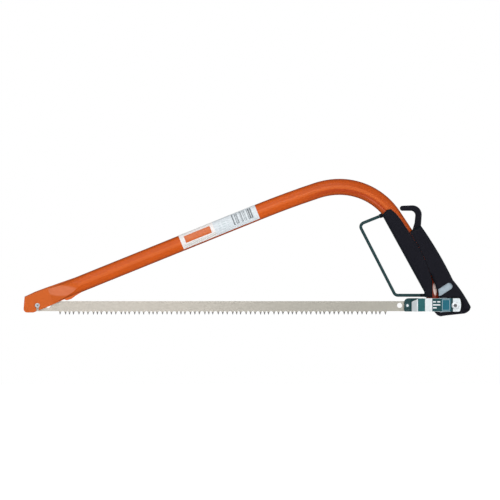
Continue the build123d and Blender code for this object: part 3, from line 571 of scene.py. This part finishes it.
def holder_film():
    """Printed film on the blade holder: bands, plain dashes and an outlined panel."""
    s = Shader("holder_film")
    low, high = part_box("holder_label")
    x, z = s.from_point(middle_of("holder_label"))
    start = (low[0] - high[0]) / 2 / MM
    x = s.math("SUBTRACT", x, start)
    grain = s.noise(240, 3)
    teal = s.mix(grain, (0.006, 0.095, 0.105), (0.012, 0.135, 0.140))
    dark = s.mix(grain, (0.002, 0.050, 0.058), (0.004, 0.075, 0.085))
    blue = s.mix(grain, (0.003, 0.110, 0.165), (0.006, 0.150, 0.210))
    white = s.mix(grain, (0.74, 0.80, 0.82), (0.82, 0.86, 0.87))
    colour = teal
    for edge, ink in ((9.9, white), (20.0, dark), (33.2, blue)):
        colour = s.mix(s.ramp(x, edge - 0.15, edge + 0.15), colour, ink)
    for first, last, height in (
        (21.0, 25.2, 4.3),
        (27.0, 31.2, 4.3),
        (21.0, 31.2, 0.1),
        (21.0, 26.2, -4.0),
    ):
        dash = s.within(x, first, last, z, height - 0.9, height + 0.9)
        colour = s.mix(dash, colour, white)
    outer = s.within(x, 33.8, 44.6, z, -7.6, 7.6, 0.1)
    inner = s.within(x, 34.3, 44.1, z, -7.1, 7.1, 0.1)
    line = s.math("SUBTRACT", outer, inner)
    colour = s.mix(s.math("MULTIPLY", line, 0.6), colour, white)
    s.set(
        Base_Color=colour,
        Roughness=s.blend(s.noise(150, 3), 0.30, 0.45),
        Specular_IOR_Level=0.35,
        Coat_Weight=0.1,
    )
    s.bump(s.noise(500, 2), 0.00002, 0.3)
    return s.material


def use(material, *nodes):
    """Gives CAD nodes a material in their material slots."""
    for name in nodes:
        mesh = frame["nodes"][name].data
        mesh.materials.clear()
        mesh.materials.append(material)


use(enamel(), "frame_tube")
use(black_plastic(), "front_grip_left", "front_grip_right", "lever_shell")
use(guard_coating(), "knuckle_guard")
use(grey_plating(), "lever_plate_left", "lever_plate_right")
use(holder_plating(), "blade_holder")
use(bright_plating(), "pivot_pin", "pivot_washer", "nose_pin")
use(teal_pin_with_highlight(), "blade_pin")
use(
    plain_steel(),
    "fulcrum_lug",
    "lug_pin",
    "grip_screw_upper",
    "grip_screw_lower",
    "fulcrum_pin",
    "plate_rivet",
    "pivot_clip",
    "blade_pin_clip",
)
use(brass(), "fulcrum_bush")
use(blade_steel(), "saw_blade")
use(frame_film(), "frame_label")
use(holder_film(), "holder_label")

# ---------------------------------------------------------------- floor, light and camera


def surround():
    """A surround that is white to the camera and a soft, dimmer light to the object.

    It is dimmer behind the camera and darkest behind the saw, so black faces stay black.
    """
    world = bpy.data.worlds.new("studio")
    world.use_nodes = True
    tree = world.node_tree
    background = tree.nodes["Background"]
    direction = tree.nodes.new("ShaderNodeSeparateXYZ")
    coords = tree.nodes.new("ShaderNodeTexCoord")
    tree.links.new(coords.outputs["Generated"], direction.inputs[0])

    def step(value, low, high, first, last):
        node = tree.nodes.new("ShaderNodeMapRange")
        node.interpolation_type = "SMOOTHSTEP"
        tree.links.new(value, node.inputs["Value"])
        for name, number in zip(("From Min", "From Max", "To Min", "To Max"), (low, high, first, last)):
            node.inputs[name].default_value = number
        return node.outputs["Result"]

    def times(first, second):
        node = tree.nodes.new("ShaderNodeMath")
        node.operation = "MULTIPLY"
        tree.links.new(first, node.inputs[0])
        tree.links.new(second, node.inputs[1])
        return node.outputs[0]

    behind_camera = step(direction.outputs["Y"], -0.98, -0.80, 0.5, 1.0)
    behind_saw = step(direction.outputs["Y"], 0.1, 0.6, 1.0, 0.12)
    sky = step(direction.outputs["Z"], -0.6, 0.9, 0.28, 0.42)
    light = times(times(behind_camera, behind_saw), sky)
    path = tree.nodes.new("ShaderNodeLightPath")
    choose = tree.nodes.new("ShaderNodeMix")
    choose.data_type = "FLOAT"
    tree.links.new(path.outputs["Is Camera Ray"], choose.inputs[0])
    tree.links.new(light, choose.inputs[2])
    choose.inputs[3].default_value = 1.0
    tree.links.new(choose.outputs[0], background.inputs["Strength"])
    background.inputs["Color"].default_value = (1, 1, 1, 1)
    bpy.context.scene.world = world


FLOOR_DROP = 0.17  # of the floor below the saw, which clears the open and swinging blade
FLOOR_SIZE = 6.0
FLOOR_MIDDLE = -0.25  # along the saw


def studio_floor():
    """A pale floor clear of the swinging blade, lit from within so that it meets the surround."""
    s = Shader("floor")
    s.set(
        Base_Color=s.mix(s.noise(6, 3), (0.90, 0.90, 0.90), (0.93, 0.93, 0.93)),
        Roughness=0.7,
        Emission_Color=(1.0, 1.0, 1.0),
        Emission_Strength=s.math("MULTIPLY", s.seen_directly(), 0.85),
    )
    bpy.ops.mesh.primitive_plane_add(size=FLOOR_SIZE, location=(FLOOR_MIDDLE, 0, cad_low.z - FLOOR_DROP))
    floor = bpy.context.object
    floor.name = "floor"
    floor.data.materials.append(s.material)


def lamp(name, place, aim, size, watts):
    """A soft square lamp at a place, aimed at a point."""
    data = bpy.data.lights.new(name, "AREA")
    data.size = size
    data.energy = watts
    thing = bpy.data.objects.new(name, data)
    bpy.context.scene.collection.objects.link(thing)
    thing.location = place
    thing.rotation_euler = (Vector(aim) - Vector(place)).to_track_quat("-Z", "Y").to_euler()


PICTURE_WIDTH = 0.700  # of what the picture shows at the saw's middle plane, in metres
PICTURE_CENTRE = Vector((-0.2464, 0.0, 0.0176))
LENS = 400.0  # in millimetres, as is the sensor
SENSOR = 36.0


def camera():
    """A long lens square on to the saw's left side."""
    data = bpy.data.cameras.new("camera")
    data.lens = LENS
    data.sensor_width = SENSOR
    thing = bpy.data.objects.new("camera", data)
    bpy.context.scene.collection.objects.link(thing)
    distance = PICTURE_WIDTH * LENS / SENSOR
    thing.location = PICTURE_CENTRE + Vector((0, -distance, 0))
    thing.rotation_euler = (math.radians(90), 0, 0)
    data.clip_end = 50
    bpy.context.scene.camera = thing


surround()
studio_floor()
lamp("key", (-0.7, -1.6, 0.85), (-0.2, 0, 0), 1.4, 16)
lamp("fill", (1.1, -1.5, 0.3), (-0.1, 0, 0), 1.2, 10)
lamp("front", (-0.25, -2.3, 0.33), (-0.25, 0, 0), 0.22, 1.6)
lamp("back", (1.3, 1.5, 0.3), (-0.2, 0, 0), 1.2, 22)
camera()
bpy.context.scene.view_settings.view_transform = "Standard"
